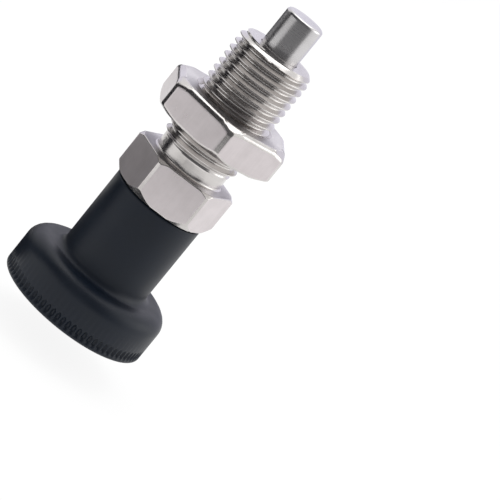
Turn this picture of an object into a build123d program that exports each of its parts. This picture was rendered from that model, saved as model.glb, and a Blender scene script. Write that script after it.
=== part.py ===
from build123d import *
import math
import os

os.makedirs("parts", exist_ok=True)

# Indexing plunger with a pull knob, in millimetres. Height 0 is the front face of the
# hexagon collar, which seats on the panel, and +Z points along the locking pin.

# Screwed guide
thread_diameter = 10.0
thread_front = 17.0
thread_lead_chamfer = 0.6
neck_diameter = 9.0
neck_length = 1.5
neck_runout_length = 1.0
neck_foot_radius = 0.3
collar_across_flats = 12.0
collar_across_corners = 13.6
collar_thickness = 5.25
collar_front_chamfer_width = 0.45
collar_front_chamfer_depth = 0.4
collar_back_chamfer_width = 0.75
collar_back_chamfer_depth = 0.95
boss_diameter = 8.8
boss_length = 7.2
boss_end_chamfer = 0.3

# Locking pin
pin_diameter = 5.0
pin_projection = 5.0
pin_end_radius = 0.4
pin_guided_length = 5.0
pin_relief_depth = 0.25
pin_relief_length = 0.65
pin_relief_cover = 0.15
pin_collar_diameter = 6.2
pin_collar_length = 2.0
stem_diameter = 3.5
stem_end_chamfer = 0.3

# Fits
guide_clearance = 0.05
collar_clearance = 0.1
stem_clearance = 0.1
stop_clearance = 0.1
sleeve_clearance = 0.2
sleeve_end_gap = 0.15
sleeve_floor_gap = 0.6

# Rear bush and compression spring
bush_length = 3.0
bush_edge_chamfer = 0.25
spring_wire_diameter = 0.55
spring_outside_diameter = 5.7
spring_turns = 5.5
spring_wire_sides = 5
spring_seat_gap = 0.05

# Knob and its moulded-in threaded bush
knob_sleeve_diameter = 11.9
knob_sleeve_edge = 0.2
knob_flange_diameter = 19.5
knob_sleeve_length = 11.0
knob_flange_thickness = 5.9
knob_root_radius = 0.95
knob_shoulder_radius = 1.8
knob_back_chamfer = 0.4
rib_count = 80
rib_band_height = 1.85
rib_groove_depth = 0.28
rib_groove_share = 0.62
insert_diameter = 6.4
insert_length = 6.0
insert_groove_depth = 0.4
insert_groove_width = 1.6
insert_edge_chamfer = 0.3
stem_engagement = 5.4

# Lock nut
nut_across_flats = 15.4
nut_across_corners = 17.4
nut_thickness = 4.35
nut_back = 4.35
nut_chamfer_width = 0.75
nut_chamfer_angle = 40.0
nut_edge_chamfer = 0.3
nut_turn = -27.3
nut_thread_clearance = 0.05
nut_mouth_chamfer = 0.4

# Places that follow from the sizes above
collar_back = -collar_thickness
boss_back = collar_back - boss_length
guide_bore_radius = pin_diameter / 2 + guide_clearance
spring_bore_radius = pin_collar_diameter / 2 + collar_clearance
guide_step = thread_front - pin_guided_length
pin_tip = thread_front + pin_projection
pin_collar_front = guide_step - stop_clearance
pin_collar_back = pin_collar_front - pin_collar_length
bush_front = boss_back + bush_length
knob_front = collar_back - sleeve_end_gap
knob_flange_front = knob_front - knob_sleeve_length
knob_back = knob_flange_front - knob_flange_thickness
knob_bore_radius = boss_diameter / 2 + sleeve_clearance
knob_floor = boss_back - sleeve_floor_gap
insert_back = knob_floor - insert_length
stem_back = knob_floor - stem_engagement


def turned(outline):
    """Solid of revolution about Z from a closed outline of (radius, height) points."""
    with BuildPart() as body:
        with BuildSketch(Plane.XZ):
            with BuildLine():
                Polyline(*outline, close=True)
            make_face()
        revolve(axis=Axis.Z)
    return body.part


def bored(radius, low, high):
    """Cylinder about Z between two heights, used to cut a bore."""
    return Pos(0, 0, (low + high) / 2) * Cylinder(radius, high - low)


def arc(middle, radius, start, end, steps):
    """Points along an arc of an outline, from one angle to the other in degrees.

    The arc is turned as a few short cones, which keeps the solid light.
    """
    points = []
    for step in range(steps + 1):
        angle = math.radians(start + (end - start) * step / steps)
        points.append((middle[0] + radius * math.cos(angle), middle[1] + radius * math.sin(angle)))
    return points


def hexagon_bar(across_flats, low, high):
    """Plain hexagon bar about Z between two heights."""
    return extrude(Plane.XY.offset(low) * RegularPolygon(across_flats / 2, 6, major_radius=False), high - low)


def turned_down(bar, across_corners, low, high, low_chamfer, high_chamfer):
    """Hexagon bar with its corners turned down and both ends chamfered.

    Each chamfer is given as (width across, depth along) at the corners.
    """
    corner = across_corners / 2
    blank = turned(
        [
            (0, low),
            (corner - low_chamfer[0], low),
            (corner, low + low_chamfer[1]),
            (corner, high - high_chamfer[1]),
            (corner - high_chamfer[0], high),
            (0, high),
        ]
    )
    return bar & blank


def make_guide_body():
    """Hexagon collar, undercut and screwed neck in front, plain boss behind, bored through."""
    thread_radius = thread_diameter / 2
    neck_radius = neck_diameter / 2
    boss_radius = boss_diameter / 2
    collar = turned_down(
        hexagon_bar(collar_across_flats, collar_back, 0),
        collar_across_corners,
        collar_back,
        0,
        (collar_back_chamfer_width, collar_back_chamfer_depth),
        (collar_front_chamfer_width, collar_front_chamfer_depth),
    )
    neck = turned(
        [
            (0, collar_back),
            (neck_radius + neck_foot_radius, collar_back),
            *arc((neck_radius + neck_foot_radius, neck_foot_radius), neck_foot_radius, 270, 180, 2),
            (neck_radius, neck_length),
            (thread_radius, neck_length + neck_runout_length),
            (thread_radius, thread_front - thread_lead_chamfer),
            (thread_radius - thread_lead_chamfer, thread_front),
            (0, thread_front),
        ]
    )
    boss = turned(
        [
            (0, boss_back),
            (boss_radius - boss_end_chamfer, boss_back),
            (boss_radius, boss_back + boss_end_chamfer),
            (boss_radius, collar_back),
            (0, collar_back),
        ]
    )
    body = collar + neck + boss
    body -= bored(spring_bore_radius, boss_back, guide_step)
    body -= bored(guide_bore_radius, guide_step, thread_front)
    return body


def make_guide_bush():
    """Bush pressed into the boss, which carries the spring and guides the stem."""
    outer = spring_bore_radius
    inner = stem_diameter / 2 + stem_clearance
    return turned(
        [
            (inner, boss_back + bush_edge_chamfer),
            (inner + bush_edge_chamfer, boss_back),
            (outer, boss_back),
            (outer, bush_front),
            (inner, bush_front),
        ]
    )


def make_locking_pin():
    """Nose and guided length of one diameter, stop collar, and the long stem behind it."""
    nose = pin_diameter / 2
    relief = nose - pin_relief_depth
    relief_front = thread_front - pin_relief_cover
    relief_back = relief_front - pin_relief_length
    stem = stem_diameter / 2
    collar = pin_collar_diameter / 2
    return turned(
        [
            (0, stem_back),
            (stem - stem_end_chamfer, stem_back),
            (stem, stem_back + stem_end_chamfer),
            (stem, pin_collar_back),
            (collar, pin_collar_back),
            (collar, pin_collar_front),
            (nose, pin_collar_front),
            (nose, relief_back),
            (relief, relief_back),
            (relief, relief_front),
            (nose, relief_front),
            *arc((nose - pin_end_radius, pin_tip - pin_end_radius), pin_end_radius, 0, 90, 2),
            (0, pin_tip),
        ]
    )


def make_compression_spring():
    """Open coil spring with both ends ground flat, between the bush and the pin collar."""
    coil_radius = (spring_outside_diameter - spring_wire_diameter) / 2
    low = bush_front + spring_seat_gap
    high = pin_collar_back - spring_seat_gap
    pitch = (high - low) / spring_turns
    path = Pos(0, 0, low) * Helix(pitch, high - low, coil_radius)
    across = Plane(origin=path @ 0, z_dir=path % 0)
    section = across * RegularPolygon(spring_wire_diameter / 2, spring_wire_sides)
    coil = sweep(section, path=path)
    length = high - low
    slab = Pos(0, 0, (low + high) / 2) * Cylinder(spring_outside_diameter, length)
    return coil & slab


def make_knob_insert():
    """Turned bush with a groove round it, which holds it in the moulded knob."""
    outer = insert_diameter / 2
    inner = stem_diameter / 2
    groove_middle = (knob_floor + insert_back) / 2
    groove_front = groove_middle + insert_groove_width / 2
    groove_back = groove_middle - insert_groove_width / 2
    return turned(
        [
            (inner, insert_back),
            (outer - insert_edge_chamfer, insert_back),
            (outer, insert_back + insert_edge_chamfer),
            (outer, groove_back),
            (outer - insert_groove_depth, groove_back),
            (outer - insert_groove_depth, groove_front),
            (outer, groove_front),
            (outer, knob_floor),
            (inner, knob_floor),
        ]
    )


def ribbed_band(low, high):
    """Disc with one V groove after another round its edge, a flat land left between them."""
    radius = knob_flange_diameter / 2
    step = 2 * math.pi / rib_count
    groove = step * rib_groove_share
    points = []
    for rib in range(rib_count):
        start = rib * step
        points.append((radius * math.cos(start), radius * math.sin(start)))
        valley = start + groove / 2
        bottom = radius - rib_groove_depth
        points.append((bottom * math.cos(valley), bottom * math.sin(valley)))
        end = start + groove
        points.append((radius * math.cos(end), radius * math.sin(end)))
    with BuildPart() as band:
        with BuildSketch(Plane.XY.offset(low)):
            with BuildLine():
                Polyline(*points, close=True)
            make_face()
        extrude(amount=high - low)
    return band.part


def make_knob():
    """Moulded pull knob: long sleeve, rounded flange, and a ribbed band near the back edge."""
    sleeve = knob_sleeve_diameter / 2
    flange = knob_flange_diameter / 2
    band_back = knob_back + knob_back_chamfer
    band_front = knob_back + rib_band_height
    shoulder = (flange - knob_shoulder_radius, knob_flange_front - knob_shoulder_radius)
    root = (sleeve + knob_root_radius, knob_flange_front + knob_root_radius)
    body = turned(
        [
            (0, band_front),
            (flange, band_front),
            *arc(shoulder, knob_shoulder_radius, 0, 90, 4),
            *arc(root, knob_root_radius, 270, 180, 3),
            (sleeve, knob_front - knob_sleeve_edge),
            (sleeve - knob_sleeve_edge, knob_front),
            (0, knob_front),
        ]
    )
    body += ribbed_band(band_back, band_front)
    body += turned(
        [
            (0, knob_back),
            (flange - knob_back_chamfer, knob_back),
            (flange, band_back),
            (0, band_back),
        ]
    )
    body -= bored(knob_bore_radius, knob_floor, knob_front)
    body -= bored(stem_diameter / 2, insert_back, knob_floor)
    body -= make_knob_insert()
    return body


def make_lock_nut():
    """Thin hexagon nut with broken edges, chamfered corners and countersunk thread mouths."""
    bore = thread_diameter / 2 + nut_thread_clearance
    mouth = bore + nut_mouth_chamfer
    nut_front = nut_back + nut_thickness
    chamfer_depth = nut_chamfer_width * math.tan(math.radians(nut_chamfer_angle))
    bar = hexagon_bar(nut_across_flats, nut_back, nut_front)
    nut = turned_down(
        chamfer(bar.edges().filter_by(Plane.XY), nut_edge_chamfer),
        nut_across_corners,
        nut_back,
        nut_front,
        (nut_chamfer_width, chamfer_depth),
        (nut_chamfer_width, chamfer_depth),
    )
    hole = turned(
        [
            (0, nut_back),
            (mouth, nut_back),
            (bore, nut_back + nut_mouth_chamfer),
            (bore, nut_front - nut_mouth_chamfer),
            (mouth, nut_front),
            (0, nut_front),
        ]
    )
    return Rot(0, 0, nut_turn) * (nut - hole)


pieces = {
    "guide_body": make_guide_body(),
    "guide_bush": make_guide_bush(),
    "locking_pin": make_locking_pin(),
    "compression_spring": make_compression_spring(),
    "knob_insert": make_knob_insert(),
    "knob": make_knob(),
    "lock_nut": make_lock_nut(),
}

for name, shape in pieces.items():
    export_step(shape, f"parts/{name}.step")
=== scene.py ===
import math
import bmesh
import bpy
from mathutils import Matrix, Vector


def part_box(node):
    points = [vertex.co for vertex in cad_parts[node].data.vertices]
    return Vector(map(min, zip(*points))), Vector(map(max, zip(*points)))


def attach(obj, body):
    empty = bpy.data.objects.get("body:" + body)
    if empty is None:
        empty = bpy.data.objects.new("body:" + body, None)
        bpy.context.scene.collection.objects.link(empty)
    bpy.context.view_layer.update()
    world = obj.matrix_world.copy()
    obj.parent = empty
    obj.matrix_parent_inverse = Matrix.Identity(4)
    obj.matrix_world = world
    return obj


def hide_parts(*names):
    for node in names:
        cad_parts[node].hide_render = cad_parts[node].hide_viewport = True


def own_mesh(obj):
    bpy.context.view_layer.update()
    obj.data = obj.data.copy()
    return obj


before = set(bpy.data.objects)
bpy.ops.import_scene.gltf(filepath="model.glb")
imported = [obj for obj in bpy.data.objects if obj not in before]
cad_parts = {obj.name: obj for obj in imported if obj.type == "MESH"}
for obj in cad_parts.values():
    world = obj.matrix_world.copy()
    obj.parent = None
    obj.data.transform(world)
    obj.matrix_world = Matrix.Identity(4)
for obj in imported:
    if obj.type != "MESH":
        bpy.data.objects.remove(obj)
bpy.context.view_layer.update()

# Indexing plunger with a ribbed pull knob. All sizes are in metres, and +Z points along the pin.

# Shared helpers

fineEdge = 0.0001  # edge radius of small and hidden edges
rounding = {
    "steps": 8,
    "fineSteps": 3,  # for edges below fineEdge
    "holdShare": 0.05,  # place of the points that hold a side's shading, as a share of the rounding
}


def wantedReach(corners, i):
    # how far the rounding of corner i runs along its two sides, when there is room
    radius, height, edge = corners[i]
    here = Vector((radius, height))
    before = Vector(corners[i - 1][:2]) - here
    after = Vector(corners[(i + 1) % len(corners)][:2]) - here
    if edge == 0 or before.length == 0 or after.length == 0:
        return 0.0, before, after
    halfAngle = before.angle(after) / 2
    return edge / max(abs(math.tan(halfAngle)), 1e-3), before, after


def roundedOutline(corners):
    # corners are (radius, height, edge radius): with an edge radius, one becomes an arc
    # between two points that hold the shading of its sides
    reaches = [wantedReach(corners, i) for i in range(len(corners))]
    path = []
    for i, (radius, height, edge) in enumerate(corners):
        if edge == 0:
            path.append((radius, height))
            continue
        here = Vector((radius, height))
        wanted, before, after = reaches[i]
        reachBefore = reaches[i - 1][0]
        reachAfter = reaches[(i + 1) % len(corners)][0]
        free = 1 - rounding["holdShare"]
        reach = min(wanted, free * before.length * wanted / max(wanted + reachBefore, 1e-9))
        reach = min(reach, free * after.length * wanted / max(wanted + reachAfter, 1e-9))
        toBefore, toAfter = before.normalized(), after.normalized()
        start = here + toBefore * reach
        end = here + toAfter * reach
        pull = math.sin(toBefore.angle(toAfter, math.pi) / 2)  # weight that makes the curve a true arc
        steps = rounding["fineSteps"] if edge < fineEdge else rounding["steps"]
        path.append(tuple(start + toBefore * reach * rounding["holdShare"]))
        for k in range(steps + 1):
            t = k / steps
            a, b, c = (1 - t) ** 2, 2 * pull * t * (1 - t), t ** 2
            path.append(tuple((start * a + here * b + end * c) / (a + b + c)))
        path.append(tuple(end + toAfter * reach * rounding["holdShare"]))
    return path


def meshFromColumns(name, columns, angles):
    # columns of (radius, height) points round Z, one for each angle; the last one lands on the first
    mesh = bpy.data.meshes.new(name)
    bm = bmesh.new()
    grid = []
    for column, angle in zip(columns, angles):
        c, s = math.cos(angle), math.sin(angle)
        grid.append([bm.verts.new((r * c, r * s, z)) for r, z in column])
    rows = len(grid[0])
    for left, right in zip(grid, grid[1:]):
        for k in range(rows):
            k2 = (k + 1) % rows
            bm.faces.new((left[k], right[k], right[k2], left[k2]))
    bmesh.ops.remove_doubles(bm, verts=bm.verts, dist=6e-7)
    bmesh.ops.dissolve_degenerate(bm, edges=bm.edges, dist=2e-7)
    bmesh.ops.recalc_face_normals(bm, faces=bm.faces)
    bm.to_mesh(mesh)
    bm.free()
    obj = bpy.data.objects.new(name, mesh)
    bpy.context.scene.collection.objects.link(obj)
    return obj


def finishPiece(obj, body, slotName, materials, creaseDegrees, *nodes):
    # smooth shading with creases, materials, and the CAD body that carries the piece
    mesh = obj.data
    mesh.shade_smooth()
    mesh.set_sharp_from_angle(angle=math.radians(creaseDegrees))
    for material in materials:
        mesh.materials.append(material)
    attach(obj, body)
    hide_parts(*nodes)
    print("made", obj.name, "with", len(mesh.polygons), "faces")
    return obj


def evenAngles(count):
    return [2 * math.pi * i / count for i in range(count + 1)]


turnedColumns = 96


def turnedPiece(name, corners):
    path = roundedOutline(corners)
    return meshFromColumns(name, [path] * (turnedColumns + 1), evenAngles(turnedColumns))


# Hexagons

hexColumns = {
    "perHalfFlat": 11,
    "crowding": 1.6,  # packs the columns of a flat towards its corners
    "covered": 0.97,  # share of the half flat that they cover
    "aroundCorner": (-0.012, -0.004, 0.004, 0.012),  # radians from where a flat meets its turned corner
}
faceTolerance = 0.00002  # how near a face lies to a flat or a front to count as part of it


def hexAngles(acrossFlats, acrossCorners, turn):
    # angles of the columns round a hexagon, close together where a flat meets its turned corner
    cornerStart = math.acos(acrossFlats / acrossCorners)
    count = hexColumns["perHalfFlat"]
    covered = cornerStart * hexColumns["covered"]
    half = [covered * (1 - (1 - k / count) ** hexColumns["crowding"]) for k in range(count)]
    half += [cornerStart + d for d in hexColumns["aroundCorner"]]
    half += [(half[-1] + math.pi / 6) / 2]
    local = [-a for a in reversed(half[1:])] + half
    angles = []
    for side in range(6):
        middle = side * math.pi / 3 + turn
        angles += [middle + a for a in local] + [middle + math.pi / 6]
    angles = sorted(a % (2 * math.pi) for a in angles)
    return angles + [angles[0] + 2 * math.pi]


def hexRadius(angle, acrossFlats, acrossCorners, turn, soften=0.000008):
    # distance to the hexagon's side in that direction, the corner turned down, with a soft edge between them
    local = (angle - turn + math.pi / 6) % (math.pi / 3) - math.pi / 6
    flat = acrossFlats / 2 / math.cos(local)
    corner = acrossCorners / 2
    gap = (flat - corner) / soften
    if gap > 30:
        return corner
    return flat - soften * math.log(1 + math.exp(gap))


def chamferedEdge(side, start, slope, edge, level, towards):
    # face corner and wall corner at a hexagon's end: the turned chamfer, or only the broken edge on a flat.
    # towards is 1 at the front end and -1 at the back end. A flat's face corner lies in line with the face,
    # just inside its rounding, so that every column has as many points
    lean = math.tan(math.atan(slope) / 2)
    if side < start + edge * (1 - lean):
        return [(side - 1.3 * edge, level, edge), (side, level, edge)]
    drop = (side - start) * slope
    return [(start, level, edge), (side, level - towards * drop, edge)]


def brushFlats(obj, acrossFlats, turn, low, high):
    # the six flats take the second material, the faced front the third, and turned places keep the first
    for face in obj.data.polygons:
        spot = face.center
        angle = math.atan2(spot.y, spot.x)
        local = (angle - turn + math.pi / 6) % (math.pi / 3) - math.pi / 6
        across = spot.xy.length * math.cos(local)
        upright = abs(face.normal.z) < 0.2
        if upright and low < spot.z < high and abs(across - acrossFlats / 2) < faceTolerance:
            face.material_index = 1
        if face.normal.z > 0.98 and abs(spot.z - high) < faceTolerance:
            face.material_index = 2


# Thread

thread = {
    "pitch": 0.001,
    "crestRadius": 0.0050,
    "rootRadius": 0.004386,
    "crestHeight": 0.009717,  # a crest passes here at angle 0
    "nutPlay": 0.00003,
}

# one turn of the profile: place along the pitch, and depth from crest (0) to root (1)
threadProfile = [
    (-0.045, 0.0), (0.045, 0.0), (0.074, 0.03), (0.18, 0.331), (0.29, 0.642), (0.40, 0.951),
    (0.445, 0.992), (0.5, 1.0), (0.555, 0.992), (0.60, 0.951), (0.71, 0.642), (0.82, 0.331), (0.926, 0.03),
]


def threadDepth(height, angle):
    # share of the full depth at a height, for a right-hand thread
    turn = (height - thread["crestHeight"]) / thread["pitch"] - angle / (2 * math.pi)
    place = turn % 1.0
    if place > 0.955:
        place -= 1
    for (u0, d0), (u1, d1) in zip(threadProfile, threadProfile[1:] + [(0.955, 0.0)]):
        if u0 <= place <= u1:
            return d0 + (d1 - d0) * (place - u0) / (u1 - u0)
    return 0.0


def threadHeights(angle, low, high):
    # heights of every profile point between two levels; points past the ends lie on the ends
    pitch = thread["pitch"]
    first = math.floor((low - thread["crestHeight"]) / pitch) - 2
    last = math.ceil((high - thread["crestHeight"]) / pitch) + 1
    heights = []
    for turn in range(first, last + 1):
        for place, depth in threadProfile:
            height = thread["crestHeight"] + pitch * (turn + place + angle / (2 * math.pi))
            heights.append(min(max(height, low), high))
    return heights


# Materials

def startMaterial(name, baseColour, metallic, roughness):
    material = bpy.data.materials.new(name)
    material.use_nodes = True
    nodes = material.node_tree.nodes
    links = material.node_tree.links
    shader = nodes["Principled BSDF"]
    shader.inputs["Base Color"].default_value = (*baseColour, 1)
    shader.inputs["Metallic"].default_value = metallic
    shader.inputs["Roughness"].default_value = roughness
    place = nodes.new("ShaderNodeTexCoord")
    return material, nodes, links, shader, place.outputs["Object"]


def stretched(nodes, links, place, scale):
    mapping = nodes.new("ShaderNodeMapping")
    mapping.inputs["Scale"].default_value = scale
    links.new(place, mapping.inputs["Vector"])
    return mapping.outputs["Vector"]


def noise(nodes, links, vector, scale, detail=3.0):
    texture = nodes.new("ShaderNodeTexNoise")
    texture.inputs["Scale"].default_value = scale
    texture.inputs["Detail"].default_value = detail
    links.new(vector, texture.inputs["Vector"])
    return texture.outputs["Fac"]


def ramp(nodes, links, value, stops):
    colours = nodes.new("ShaderNodeValToRGB")
    line = colours.color_ramp
    while len(line.elements) < len(stops):
        line.elements.new(0.5)
    for element, (position, colour) in zip(line.elements, stops):
        element.position = position
        element.color = (*colour, 1)
    links.new(value, colours.inputs["Fac"])
    return colours.outputs["Color"]


def spread(nodes, links, value, low, high):
    # turns a noise between about 0.3 and 0.7 into a range of roughness or height
    mapRange = nodes.new("ShaderNodeMapRange")
    mapRange.inputs["From Min"].default_value = 0.3
    mapRange.inputs["From Max"].default_value = 0.7
    mapRange.inputs["To Min"].default_value = low
    mapRange.inputs["To Max"].default_value = high
    links.new(value, mapRange.inputs["Value"])
    return mapRange.outputs["Result"]


def bump(nodes, links, shader, height, distance, strength):
    node = nodes.new("ShaderNodeBump")
    node.inputs["Strength"].default_value = strength
    node.inputs["Distance"].default_value = distance
    links.new(height, node.inputs["Height"])
    links.new(node.outputs["Normal"], shader.inputs["Normal"])


def turningMarks(nodes, links, place, fineness):
    # rings left by the lathe: they follow the height on a wall and the radius on a face
    split = nodes.new("ShaderNodeSeparateXYZ")
    links.new(place, split.inputs["Vector"])
    flat = nodes.new("ShaderNodeCombineXYZ")
    links.new(split.outputs["X"], flat.inputs["X"])
    links.new(split.outputs["Y"], flat.inputs["Y"])
    radius = nodes.new("ShaderNodeVectorMath")
    radius.operation = "LENGTH"
    links.new(flat.outputs["Vector"], radius.inputs[0])
    both = nodes.new("ShaderNodeMath")
    both.operation = "ADD"
    links.new(radius.outputs["Value"], both.inputs[0])
    links.new(split.outputs["Z"], both.inputs[1])
    rings = nodes.new("ShaderNodeTexNoise")
    rings.noise_dimensions = "1D"
    rings.inputs["Scale"].default_value = fineness
    rings.inputs["Detail"].default_value = 3.0
    links.new(both.outputs["Value"], rings.inputs["W"])
    return rings.outputs["Fac"]


cloudScale = 260  # soft cloudy tone of the turned metals
marksStrength = 0.35

turnedNickelLook = {
    "tones": ((0.53, 0.505, 0.49), (0.66, 0.635, 0.62)),
    "roughness": (0.16, 0.27),
    "ringFineness": 9000,
    "ringHeight": 0.000004,
}


def makeTurnedMetal(name, look):
    tones = look["tones"]
    material, nodes, links, shader, place = startMaterial(name, tones[1], 1.0, look["roughness"][0])
    cloud = noise(nodes, links, place, cloudScale, 4)
    colour = ramp(nodes, links, cloud, [(0.3, tones[0]), (0.62, tones[1])])
    links.new(colour, shader.inputs["Base Color"])
    rings = turningMarks(nodes, links, place, look["ringFineness"])
    links.new(spread(nodes, links, rings, *look["roughness"]), shader.inputs["Roughness"])
    bump(nodes, links, shader, rings, look["ringHeight"], marksStrength)
    return material


facedNickelLook = {
    "tones": ((0.55, 0.53, 0.55), (0.64, 0.62, 0.64)),
    "roughness": (0.34, 0.42),
    "ringFineness": 9000,
    "ringHeight": 0.000003,
    "stretch": 0.8,
}


def makeFacedNickel(name, look):
    # a face cut on the lathe: its rings draw the light out along the radius
    material = makeTurnedMetal(name, look)
    nodes, links = material.node_tree.nodes, material.node_tree.links
    shader = nodes["Principled BSDF"]
    shader.inputs["Anisotropic"].default_value = look["stretch"]
    around = nodes.new("ShaderNodeTangent")
    around.direction_type = "RADIAL"
    around.axis = "Z"
    links.new(around.outputs["Tangent"], shader.inputs["Tangent"])
    return material


flatNickelLook = {
    "tones": ((0.59, 0.545, 0.55), (0.67, 0.62, 0.628)),
    "metallic": 0.85,
    "roughness": (0.26, 0.36),
    "streakShare": 0.25,
    "streakScale": (2600, 2600, 130),
    "cloudScale": 420,
    "grainHeight": 0.000003,
    "grainStrength": 0.3,
}


def makeFlatNickel(name, look):
    # the drawn bar shows faint streaks along it and a soft cloudy tone
    tones = look["tones"]
    metallic, roughness = look["metallic"], look["roughness"]
    material, nodes, links, shader, place = startMaterial(name, tones[1], metallic, roughness[0])
    streaks = noise(nodes, links, stretched(nodes, links, place, look["streakScale"]), 1.0, 5)
    cloud = noise(nodes, links, place, look["cloudScale"], 5)
    both = nodes.new("ShaderNodeMath")
    both.operation = "MULTIPLY_ADD"
    both.inputs[1].default_value = look["streakShare"]
    links.new(streaks, both.inputs[0])
    rest = nodes.new("ShaderNodeMath")
    rest.operation = "MULTIPLY"
    rest.inputs[1].default_value = 1 - look["streakShare"]
    links.new(cloud, rest.inputs[0])
    links.new(rest.outputs["Value"], both.inputs[2])
    mixed = both.outputs["Value"]
    colour = ramp(nodes, links, mixed, [(0.36, tones[0]), (0.6, tones[1])])
    links.new(colour, shader.inputs["Base Color"])
    links.new(spread(nodes, links, mixed, *roughness), shader.inputs["Roughness"])
    bump(nodes, links, shader, streaks, look["grainHeight"], look["grainStrength"])
    return material


plasticLook = {
    "tones": ((0.0018, 0.0052, 0.0122), (0.0026, 0.0066, 0.0150)),
    "roughness": (0.40, 0.50),
    "specular": 0.32,
    "cloudScale": 300,
    "grainScale": 5200,
    "grainHeight": 0.00001,
    "grainStrength": 0.3,
}


def makePlastic(name, look):
    # moulded thermoset with a fine matt grain
    tones = look["tones"]
    material, nodes, links, shader, place = startMaterial(name, tones[0], 0.0, look["roughness"][0])
    shader.inputs["Specular IOR Level"].default_value = look["specular"]
    cloud = noise(nodes, links, place, look["cloudScale"], 4)
    colour = ramp(nodes, links, cloud, [(0.32, tones[0]), (0.66, tones[1])])
    links.new(colour, shader.inputs["Base Color"])
    grain = noise(nodes, links, place, look["grainScale"], 2)
    links.new(spread(nodes, links, cloud, *look["roughness"]), shader.inputs["Roughness"])
    bump(nodes, links, shader, grain, look["grainHeight"], look["grainStrength"])
    return material


groundPinLook = {
    "tones": ((0.55, 0.535, 0.54), (0.64, 0.625, 0.63)),
    "roughness": (0.25, 0.34),
    "ringFineness": 14000,
    "ringHeight": 0.000003,
}
springWireLook = {
    "tones": ((0.34, 0.33, 0.325), (0.47, 0.46, 0.455)),
    "roughness": (0.25, 0.38),
    "ringFineness": 6000,
    "ringHeight": 0.000003,
}
brassLook = {
    "tones": ((0.60, 0.42, 0.17), (0.74, 0.55, 0.25)),
    "roughness": (0.22, 0.34),
    "ringFineness": 7000,
    "ringHeight": 0.000004,
}

turnedNickel = makeTurnedMetal("turnedNickel", turnedNickelLook)
flatNickel = makeFlatNickel("flatNickel", flatNickelLook)
facedNickel = makeFacedNickel("facedNickel", facedNickelLook)
groundPin = makeTurnedMetal("groundPin", groundPinLook)
springWire = makeTurnedMetal("springWire", springWireLook)
bushSteel = makeTurnedMetal("bushSteel", springWireLook)
insertBrass = makeTurnedMetal("insertBrass", brassLook)
knobPlastic = makePlastic("knobPlastic", plasticLook)
print("materials made")

# Screwed guide with its hexagon collar

guideLow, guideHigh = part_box("guide_body")
guide = {
    "acrossFlats": guideHigh.y - guideLow.y,
    "acrossCorners": guideHigh.x - guideLow.x,
    "turn": math.pi / 6,  # direction that one flat faces
    "front": guideHigh.z,
    "back": guideLow.z,
    "neckRadius": 0.0045,
    "neckEnd": 0.0015,
    "fullThread": 0.0025,
    "collarBack": -0.00525,
    "edge": 0.00015,
    "frontChamfer": (0.00045, 0.0004),  # width across and depth along at the corners
    "backChamfer": (0.00075, 0.00095),
    "bossRadius": 0.0044,
    "guideBore": 0.00255,
    "springBore": 0.0032,
    "boreStep": 0.012,
}


def guideThreadRadius(height, angle):
    # the thread rises out of the neck and ends in the front chamfer
    rise = min(max((height - guide["neckEnd"]) / (guide["fullThread"] - guide["neckEnd"]), 0), 1)
    rise = rise * rise * (3 - 2 * rise)
    full = thread["crestRadius"] - threadDepth(height, angle) * (thread["crestRadius"] - thread["rootRadius"])
    chamfer = thread["rootRadius"] + guide["front"] - height
    return min(guide["neckRadius"] + rise * (full - guide["neckRadius"]), chamfer)


def guideColumn(angle):
    side = hexRadius(angle, guide["acrossFlats"], guide["acrossCorners"], guide["turn"])
    corner = guide["acrossCorners"] / 2
    edge = guide["edge"]
    back = guide["collarBack"]
    frontWidth, frontDepth = guide["frontChamfer"]
    backWidth, backDepth = guide["backChamfer"]
    frontEnd = chamferedEdge(side, corner - frontWidth, frontDepth / frontWidth, edge, 0.0, 1)
    backEnd = chamferedEdge(side, corner - backWidth, backDepth / backWidth, edge, back, -1)
    heights = threadHeights(angle, guide["neckEnd"], guide["front"])
    threadRows = [(guideThreadRadius(z, angle), z, 0) for z in reversed(heights)]
    corners = [
        (guide["guideBore"], guide["front"], 0.00012),
        *threadRows,
        (guide["neckRadius"], 0.0, 0.0003),
        *frontEnd,
        *reversed(backEnd),
        (guide["bossRadius"], back, fineEdge),
        (guide["bossRadius"], guide["back"], 0.00025),
        (guide["springBore"], guide["back"], fineEdge),
        (guide["springBore"], guide["boreStep"], fineEdge),
        (guide["guideBore"], guide["boreStep"], fineEdge),
    ]
    return roundedOutline(corners)


def makeGuideBody():
    angles = hexAngles(guide["acrossFlats"], guide["acrossCorners"], guide["turn"])
    obj = meshFromColumns("guideBody", [guideColumn(a) for a in angles], angles)
    brushFlats(obj, guide["acrossFlats"], guide["turn"], guide["collarBack"], 0.0)
    return finishPiece(obj, "guide", "guide_steel", [turnedNickel, flatNickel, facedNickel], 24, "guide_body")


makeGuideBody()

# Lock nut

nutLow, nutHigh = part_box("lock_nut")
nut = {
    "acrossFlats": 0.0154,
    "acrossCorners": 0.0174,
    "front": nutHigh.z,
    "back": nutLow.z,
    "turn": math.radians(-27.3 - 90),  # direction that one flat faces
    "chamferWidth": 0.0011,
    "chamferSlope": math.tan(math.radians(30)),
    "frontEdge": 0.0008,
    "backEdge": 0.0004,
    "mouthRadius": 0.00545,
    "minorRadius": 0.00446,
}


def nutThreadRadius(height, angle):
    depth = threadDepth(height, angle) * (thread["crestRadius"] - thread["rootRadius"])
    inner = max(thread["crestRadius"] - depth, nut["minorRadius"]) + thread["nutPlay"]
    mouth = nut["mouthRadius"] - min(height - nut["back"], nut["front"] - height)
    return max(inner, mouth)


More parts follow.
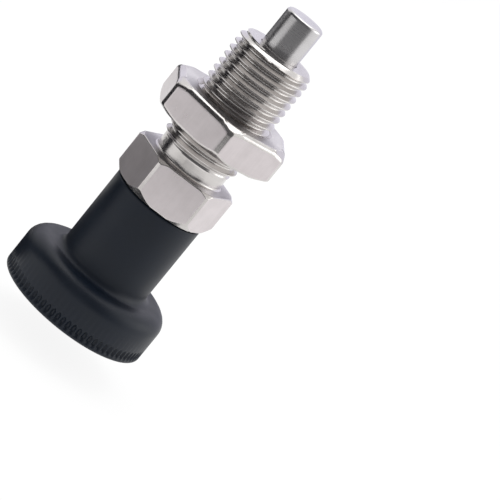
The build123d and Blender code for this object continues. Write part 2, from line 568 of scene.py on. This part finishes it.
def nutColumn(angle):
    side = hexRadius(angle, nut["acrossFlats"], nut["acrossCorners"], nut["turn"])
    start = nut["acrossCorners"] / 2 - nut["chamferWidth"]
    heights = threadHeights(angle, nut["back"], nut["front"])
    corners = [
        *chamferedEdge(side, start, nut["chamferSlope"], nut["frontEdge"], nut["front"], 1),
        *reversed(chamferedEdge(side, start, nut["chamferSlope"], nut["backEdge"], nut["back"], -1)),
        *[(nutThreadRadius(z, angle), z, 0) for z in heights],
    ]
    return roundedOutline(corners)


def makeLockNut():
    angles = hexAngles(nut["acrossFlats"], nut["acrossCorners"], nut["turn"])
    obj = meshFromColumns("lockNut", [nutColumn(a) for a in angles], angles)
    brushFlats(obj, nut["acrossFlats"], nut["turn"], nut["back"], nut["front"])
    return finishPiece(obj, "nut", "nut_steel", [turnedNickel, flatNickel, facedNickel], 24, "lock_nut")


makeLockNut()

# Locking pin

pinLow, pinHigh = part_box("locking_pin")
pin = {
    "radius": 0.0025,
    "tip": pinHigh.z,
    "tipRadius": 0.0004,
    "reliefRadius": 0.00225,
    "reliefFront": 0.01685,
    "reliefBack": 0.0162,
    "collarRadius": 0.0031,
    "collarFront": 0.0119,
    "collarBack": 0.0099,
    "stemRadius": 0.00175,
    "stemBack": pinLow.z,
}


def makeLockingPin():
    corners = [
        (0.0, pin["stemBack"], 0),
        (pin["stemRadius"], pin["stemBack"], 0.00025),
        (pin["stemRadius"], pin["collarBack"], fineEdge),
        (pin["collarRadius"], pin["collarBack"], fineEdge),
        (pin["collarRadius"], pin["collarFront"], fineEdge),
        (pin["radius"], pin["collarFront"], fineEdge),
        (pin["radius"], pin["reliefBack"], 0.00005),
        (pin["reliefRadius"], pin["reliefBack"], 0.00005),
        (pin["reliefRadius"], pin["reliefFront"], 0.00005),
        (pin["radius"], pin["reliefFront"], 0.00005),
        (pin["radius"], pin["tip"], pin["tipRadius"]),
        (0.0, pin["tip"], 0),
    ]
    obj = turnedPiece("lockingPin", corners)
    return finishPiece(obj, "plunger", "pin_steel", [groundPin], 30, "locking_pin")


makeLockingPin()

# Compression spring

springLow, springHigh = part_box("compression_spring")
spring = {
    "wireRadius": 0.000275,
    "coilRadius": 0.002575,
    "turns": 5.5,
    "stepsPerTurn": 40,
    "sides": 14,
    "pull": 0.005,
}


def makeCompressionSpring():
    # round wire along a helix, its ends ground level with the seats
    low, high = springLow.z, springHigh.z
    count = int(spring["turns"] * spring["stepsPerTurn"])
    bm = bmesh.new()
    rings = []
    for i in range(count + 1):
        share = i / count
        angle = 2 * math.pi * spring["turns"] * share
        middle = Vector((math.cos(angle), math.sin(angle), 0)) * spring["coilRadius"]
        outward = middle.normalized()
        ring = []
        for k in range(spring["sides"]):
            a = 2 * math.pi * k / spring["sides"]
            spot = middle + outward * math.cos(a) * spring["wireRadius"]
            height = low + (high - low) * share + math.sin(a) * spring["wireRadius"]
            ring.append(bm.verts.new((spot.x, spot.y, min(max(height, low), high))))
        rings.append(ring)
    for first, second in zip(rings, rings[1:]):
        for k in range(spring["sides"]):
            k2 = (k + 1) % spring["sides"]
            bm.faces.new((first[k], first[k2], second[k2], second[k]))
    bm.faces.new(rings[0])
    bm.faces.new(reversed(rings[-1]))
    bmesh.ops.recalc_face_normals(bm, faces=bm.faces)
    mesh = bpy.data.meshes.new("compressionSpring")
    bm.to_mesh(mesh)
    bm.free()
    obj = bpy.data.objects.new("compressionSpring", mesh)
    bpy.context.scene.collection.objects.link(obj)
    finishPiece(obj, "spring", "spring_steel", [springWire], 40, "compression_spring")
    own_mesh(obj)
    return obj


makeCompressionSpring()

# Rear bush and the insert moulded into the knob

bushLow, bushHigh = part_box("guide_bush")
insertLow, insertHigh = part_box("knob_insert")
bush = {"outerRadius": bushHigh.x, "innerRadius": 0.00185, "edge": 0.00025}
insert = {
    "outerRadius": insertHigh.x,
    "innerRadius": 0.00175,
    "edge": 0.00025,
    "grooveDepth": 0.0004,
    "grooveHalf": 0.0008,
}


def makeGuideBush():
    corners = [
        (bush["innerRadius"], bushLow.z, bush["edge"]),
        (bush["outerRadius"], bushLow.z, fineEdge),
        (bush["outerRadius"], bushHigh.z, fineEdge),
        (bush["innerRadius"], bushHigh.z, fineEdge),
    ]
    obj = turnedPiece("guideBush", corners)
    return finishPiece(obj, "guide", "bush_steel", [bushSteel], 30, "guide_bush")


def makeKnobInsert():
    middle = (insertLow.z + insertHigh.z) / 2
    inGroove = insert["outerRadius"] - insert["grooveDepth"]
    corners = [
        (insert["innerRadius"], insertLow.z, fineEdge),
        (insert["outerRadius"], insertLow.z, insert["edge"]),
        (insert["outerRadius"], middle - insert["grooveHalf"], fineEdge),
        (inGroove, middle - insert["grooveHalf"], fineEdge),
        (inGroove, middle + insert["grooveHalf"], fineEdge),
        (insert["outerRadius"], middle + insert["grooveHalf"], fineEdge),
        (insert["outerRadius"], insertHigh.z, fineEdge),
        (insert["innerRadius"], insertHigh.z, fineEdge),
    ]
    obj = turnedPiece("knobInsert", corners)
    return finishPiece(obj, "plunger", "insert_brass", [insertBrass], 30, "knob_insert")


makeGuideBush()
makeKnobInsert()

# Pull knob

knobLow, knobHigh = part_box("knob")
knob = {
    "sleeveRadius": 0.00595,
    "sleeveEdge": 0.0002,
    "boreRadius": 0.0046,
    "flangeRadius": knobHigh.x,
    "flangeFront": knobHigh.z - 0.011,
    "rootRadius": 0.00095,
    "shoulderRadius": 0.0018,
    "bandHeight": 0.00185,
    "ribs": 80,
    "grooveDepth": 0.00028,
    "grooveShare": 0.8,
    "grooveEnd": 0.0006,  # length over which a groove's front end closes to a point
    "grooveRunout": 0.0005,  # length over which it runs out towards the plain rim
    "backEdge": 0.00035,  # plain rim behind the grooves
    "columnsPerRib": 8,
    "wallRows": 14,
}


def grooveAt(angle, fromFront, fromRim):
    # depth of the grooves between the ribs, narrowing to a point at their front ends
    step = 2 * math.pi / knob["ribs"]
    across = abs((angle / step) % 1 - 0.5) * 2
    closing = min(max(fromFront / knob["grooveEnd"], 0), 1)
    width = knob["grooveShare"] * math.sqrt(closing)
    if across >= width:
        return 0.0
    shape = 1 - (across / width) ** 2
    runout = min(max(fromRim / knob["grooveRunout"], 0), 1)
    return knob["grooveDepth"] * shape * min(closing * 1.6, 1) * runout


def knobColumn(angle):
    # the wall's rows lie closer together at the grooves' pointed front ends
    flange = knob["flangeRadius"]
    front = knobHigh.z
    back = knobLow.z
    bandFront = back + knob["bandHeight"]
    wall = []
    for k in range(knob["wallRows"] + 1):
        share = (k / knob["wallRows"]) ** 1.2
        height = bandFront - share * (knob["bandHeight"] - knob["backEdge"])
        depth = grooveAt(angle, bandFront - height, height - back - knob["backEdge"])
        wall.append((flange - depth, height, 0))
    corners = [
        (knob["boreRadius"], front, fineEdge),
        (knob["sleeveRadius"], front, knob["sleeveEdge"]),
        (knob["sleeveRadius"], knob["flangeFront"], knob["rootRadius"]),
        (flange, knob["flangeFront"], knob["shoulderRadius"]),
        *wall,
        (flange, back, knob["backEdge"]),
        (0.0, back, 0),
        (0.0, insertLow.z, 0),
        (insert["outerRadius"], insertLow.z, 0),
        (insert["outerRadius"], insertHigh.z, 0),
        (knob["boreRadius"], insertHigh.z, fineEdge),
    ]
    return roundedOutline(corners)


def makeKnob():
    angles = evenAngles(knob["ribs"] * knob["columnsPerRib"])
    obj = meshFromColumns("pullKnob", [knobColumn(a) for a in angles], angles)
    return finishPiece(obj, "plunger", "knob_plastic", [knobPlastic], 35, "knob")


makeKnob()

# Floor, reflected cards, lamps and camera

stageLook = {
    "floorSize": 8.0,
    "floorDrop": 0.005,  # room for the knob when it is pulled
    "floorColour": (0.9, 0.9, 0.9),
    "shadowShare": 0.12,  # how much of the shadow the white floor shows
    "skyLight": 1.1,
    "cameraDirection": math.radians(-96.9),
    "cardSteps": 24,
    "sheetHeight": 0.0003,
}


def whiteOrLit(tree, share):
    # 1 for what the camera, a gloss or a clear material sees, times a share, and 0 for plain light
    nodes, links = tree.nodes, tree.links
    rays = nodes.new("ShaderNodeLightPath")
    total = nodes.new("ShaderNodeMath")
    total.operation = "ADD"
    links.new(rays.outputs["Is Camera Ray"], total.inputs[0])
    links.new(rays.outputs["Is Glossy Ray"], total.inputs[1])
    more = nodes.new("ShaderNodeMath")
    more.operation = "ADD"
    more.use_clamp = True
    links.new(total.outputs["Value"], more.inputs[0])
    links.new(rays.outputs["Is Transmission Ray"], more.inputs[1])
    part = nodes.new("ShaderNodeMath")
    part.operation = "MULTIPLY"
    part.inputs[1].default_value = share
    links.new(more.outputs["Value"], part.inputs[0])
    return part.outputs["Value"]


def makeFloorWhite():
    material = bpy.data.materials.new("floorWhite")
    material.use_nodes = True
    tree = material.node_tree
    tree.nodes.clear()
    out = tree.nodes.new("ShaderNodeOutputMaterial")
    mix = tree.nodes.new("ShaderNodeMixShader")
    matt = tree.nodes.new("ShaderNodeBsdfDiffuse")
    glow = tree.nodes.new("ShaderNodeEmission")
    matt.inputs["Color"].default_value = (*stageLook["floorColour"], 1)
    glow.inputs["Color"].default_value = (1, 1, 1, 1)
    tree.links.new(whiteOrLit(tree, 1 - stageLook["shadowShare"]), mix.inputs["Fac"])
    tree.links.new(matt.outputs["BSDF"], mix.inputs[1])
    tree.links.new(glow.outputs["Emission"], mix.inputs[2])
    tree.links.new(mix.outputs["Shader"], out.inputs["Surface"])
    return material


def makeFloor():
    half = stageLook["floorSize"] / 2
    level = knobLow.z - stageLook["floorDrop"]
    mesh = bpy.data.meshes.new("floor")
    mesh.from_pydata(
        [(-half, -half, level), (half, -half, level), (half, half, level), (-half, half, level)],
        [], [(0, 1, 2, 3)],
    )
    mesh.materials.append(makeFloorWhite())
    obj = bpy.data.objects.new("floor", mesh)
    bpy.context.scene.collection.objects.link(obj)


def makeSky():
    world = bpy.data.worlds.new("studio")
    bpy.context.scene.world = world
    world.use_nodes = True
    tree = world.node_tree
    tree.nodes.clear()
    out = tree.nodes.new("ShaderNodeOutputWorld")
    mix = tree.nodes.new("ShaderNodeMixShader")
    lit = tree.nodes.new("ShaderNodeBackground")
    seen = tree.nodes.new("ShaderNodeBackground")
    lit.inputs["Color"].default_value = (1, 1, 1, 1)
    lit.inputs["Strength"].default_value = stageLook["skyLight"]
    seen.inputs["Color"].default_value = (1, 1, 1, 1)
    tree.links.new(whiteOrLit(tree, 1.0), mix.inputs["Fac"])
    tree.links.new(lit.outputs["Background"], mix.inputs[1])
    tree.links.new(seen.outputs["Background"], mix.inputs[2])
    tree.links.new(mix.outputs["Shader"], out.inputs["Surface"])


# curved glowing cards that only the gloss sees, painting dark reflections and a pale lavender reflection:
# start and end round the object in degrees from the camera's side, lowest and highest edge above the knob's
# back in metres, distance, and colour
cards = {
    "cameraSide": {"span": (-39, 60), "rise": (0, 0.5), "distance": 0.116, "colour": (0.13, 0.13, 0.135)},
    "cameraHood": {"span": (-82, -39), "rise": (0.03, 0.5), "distance": 0.13, "colour": (0.02, 0.02, 0.024)},
    "darkStrip": {"span": (-108, -82), "rise": (0, 0.20), "distance": 0.17, "colour": (0.02, 0.02, 0.025)},
    "leftFar": {"span": (-172, -108), "rise": (0, 0.03), "distance": 0.178, "colour": (0.03, 0.03, 0.035)},
    "coolBack": {"span": (135, 225), "rise": (0, 0.16), "distance": 0.19, "colour": (0.90, 0.885, 1.0)},
}
# level dark glowing sheets at the knob's back, which only the gloss sees, as painted shade in the
# reflections: start and end, nearest and farthest place
sheets = {
    "leftShade": {"span": (-108, -82), "reach": (0.011, 0.17), "colour": (0.02, 0.02, 0.025)},
    "collarShade": {"span": (-128, -108), "reach": (0.011, 0.105), "colour": (0.02, 0.02, 0.025)},
    "knobShade": {"span": (-185, -128), "reach": (0.011, 0.05), "colour": (0.02, 0.02, 0.025)},
}


def makeReflectionGlow(name, colour):
    # its colour glows though it is no lamp, and the gloss shows it as a painted reflection
    material = bpy.data.materials.new(name)
    material.use_nodes = True
    tree = material.node_tree
    tree.nodes.clear()
    out = tree.nodes.new("ShaderNodeOutputMaterial")
    glow = tree.nodes.new("ShaderNodeEmission")
    glow.inputs["Color"].default_value = (*colour, 1)
    tree.links.new(glow.outputs["Emission"], out.inputs["Surface"])
    return material


def makeCard(name, span, near, far, colour):
    # a glowing band round the object between two edges, each given as (distance, height above the knob's
    # back), which shows only as a painted reflection
    start, end = (math.radians(a) + stageLook["cameraDirection"] for a in span)
    steps = stageLook["cardSteps"]
    corners = []
    for k in range(steps + 1):
        angle = start + (end - start) * k / steps
        for distance, height in (near, far):
            flat = Vector((math.cos(angle), math.sin(angle))) * distance
            corners.append((*flat, knobLow.z + height))
    faces = [(2 * k, 2 * k + 2, 2 * k + 3, 2 * k + 1) for k in range(steps)]
    mesh = bpy.data.meshes.new(name)
    mesh.from_pydata(corners, [], faces)
    mesh.materials.append(makeReflectionGlow(name + "ReflectionGlow", colour))
    obj = bpy.data.objects.new(name, mesh)
    bpy.context.scene.collection.objects.link(obj)
    obj.visible_camera = False
    obj.visible_diffuse = False
    obj.visible_shadow = False
    obj.visible_transmission = False


# square soft lamps: direction round the object from the camera's side, elevation, distance,
# side and brightness
lamps = {
    "overhead": {"around": 190, "raised": 77, "distance": 0.36, "side": 0.30, "brightness": 1.5},
    "rightHand": {"around": 105, "raised": 28, "distance": 0.42, "side": 0.26, "brightness": 1.25},
    "leftHand": {"around": -60, "raised": 40, "distance": 0.42, "side": 0.20, "brightness": 0.8},
}


def makeLamp(name, lamp):
    data = bpy.data.lights.new(name, "AREA")
    data.size = lamp["side"]
    data.energy = lamp["brightness"] * math.pi * lamp["side"] ** 2
    obj = bpy.data.objects.new(name, data)
    bpy.context.scene.collection.objects.link(obj)
    around = math.radians(lamp["around"]) + stageLook["cameraDirection"]
    raised = math.radians(lamp["raised"])
    level = math.cos(raised)
    away = Vector((math.cos(around) * level, math.sin(around) * level, math.sin(raised)))
    obj.location = away * lamp["distance"]
    obj.rotation_mode = "QUATERNION"
    obj.rotation_quaternion = (-away).to_track_quat("-Z", "Y")


shot = {
    "place": (-0.035488, -0.292708, 0.069891),
    "heading": math.radians(-9.196),
    "pitch": math.radians(13.915),
    "roll": math.radians(39.546),
    "lens": 188.15,
    "sensor": 36.0,
}


def makeCamera():
    data = bpy.data.cameras.new("camera")
    data.sensor_width = shot["sensor"]
    data.lens = shot["lens"]
    data.clip_start = 0.01
    data.clip_end = 50
    obj = bpy.data.objects.new("camera", data)
    bpy.context.scene.collection.objects.link(obj)
    heading, pitch, roll = shot["heading"], shot["pitch"], shot["roll"]
    level = Vector((math.cos(heading), math.sin(heading), 0))
    forward = Vector((-math.sin(heading), math.cos(heading), 0))
    ahead = forward * math.cos(pitch) - Vector((0, 0, math.sin(pitch)))
    upright = level.cross(ahead)
    right = level * math.cos(roll) + upright * math.sin(roll)
    top = upright * math.cos(roll) - level * math.sin(roll)
    turn = Matrix((right, top, -ahead)).transposed()
    obj.matrix_world = Matrix.Translation(shot["place"]) @ turn.to_4x4()
    bpy.context.scene.camera = obj


makeFloor()
makeSky()
for name, card in cards.items():
    low, high = card["rise"]
    makeCard(name, card["span"], (card["distance"], low), (card["distance"], high), card["colour"])
for name, sheet in sheets.items():
    near, far = sheet["reach"]
    level = stageLook["sheetHeight"]
    makeCard(name, sheet["span"], (near, level), (far, level), sheet["colour"])
for name, lamp in lamps.items():
    makeLamp(name, lamp)
makeCamera()
bpy.context.scene.view_settings.view_transform = "Standard"
print("stage, lamps and camera made")
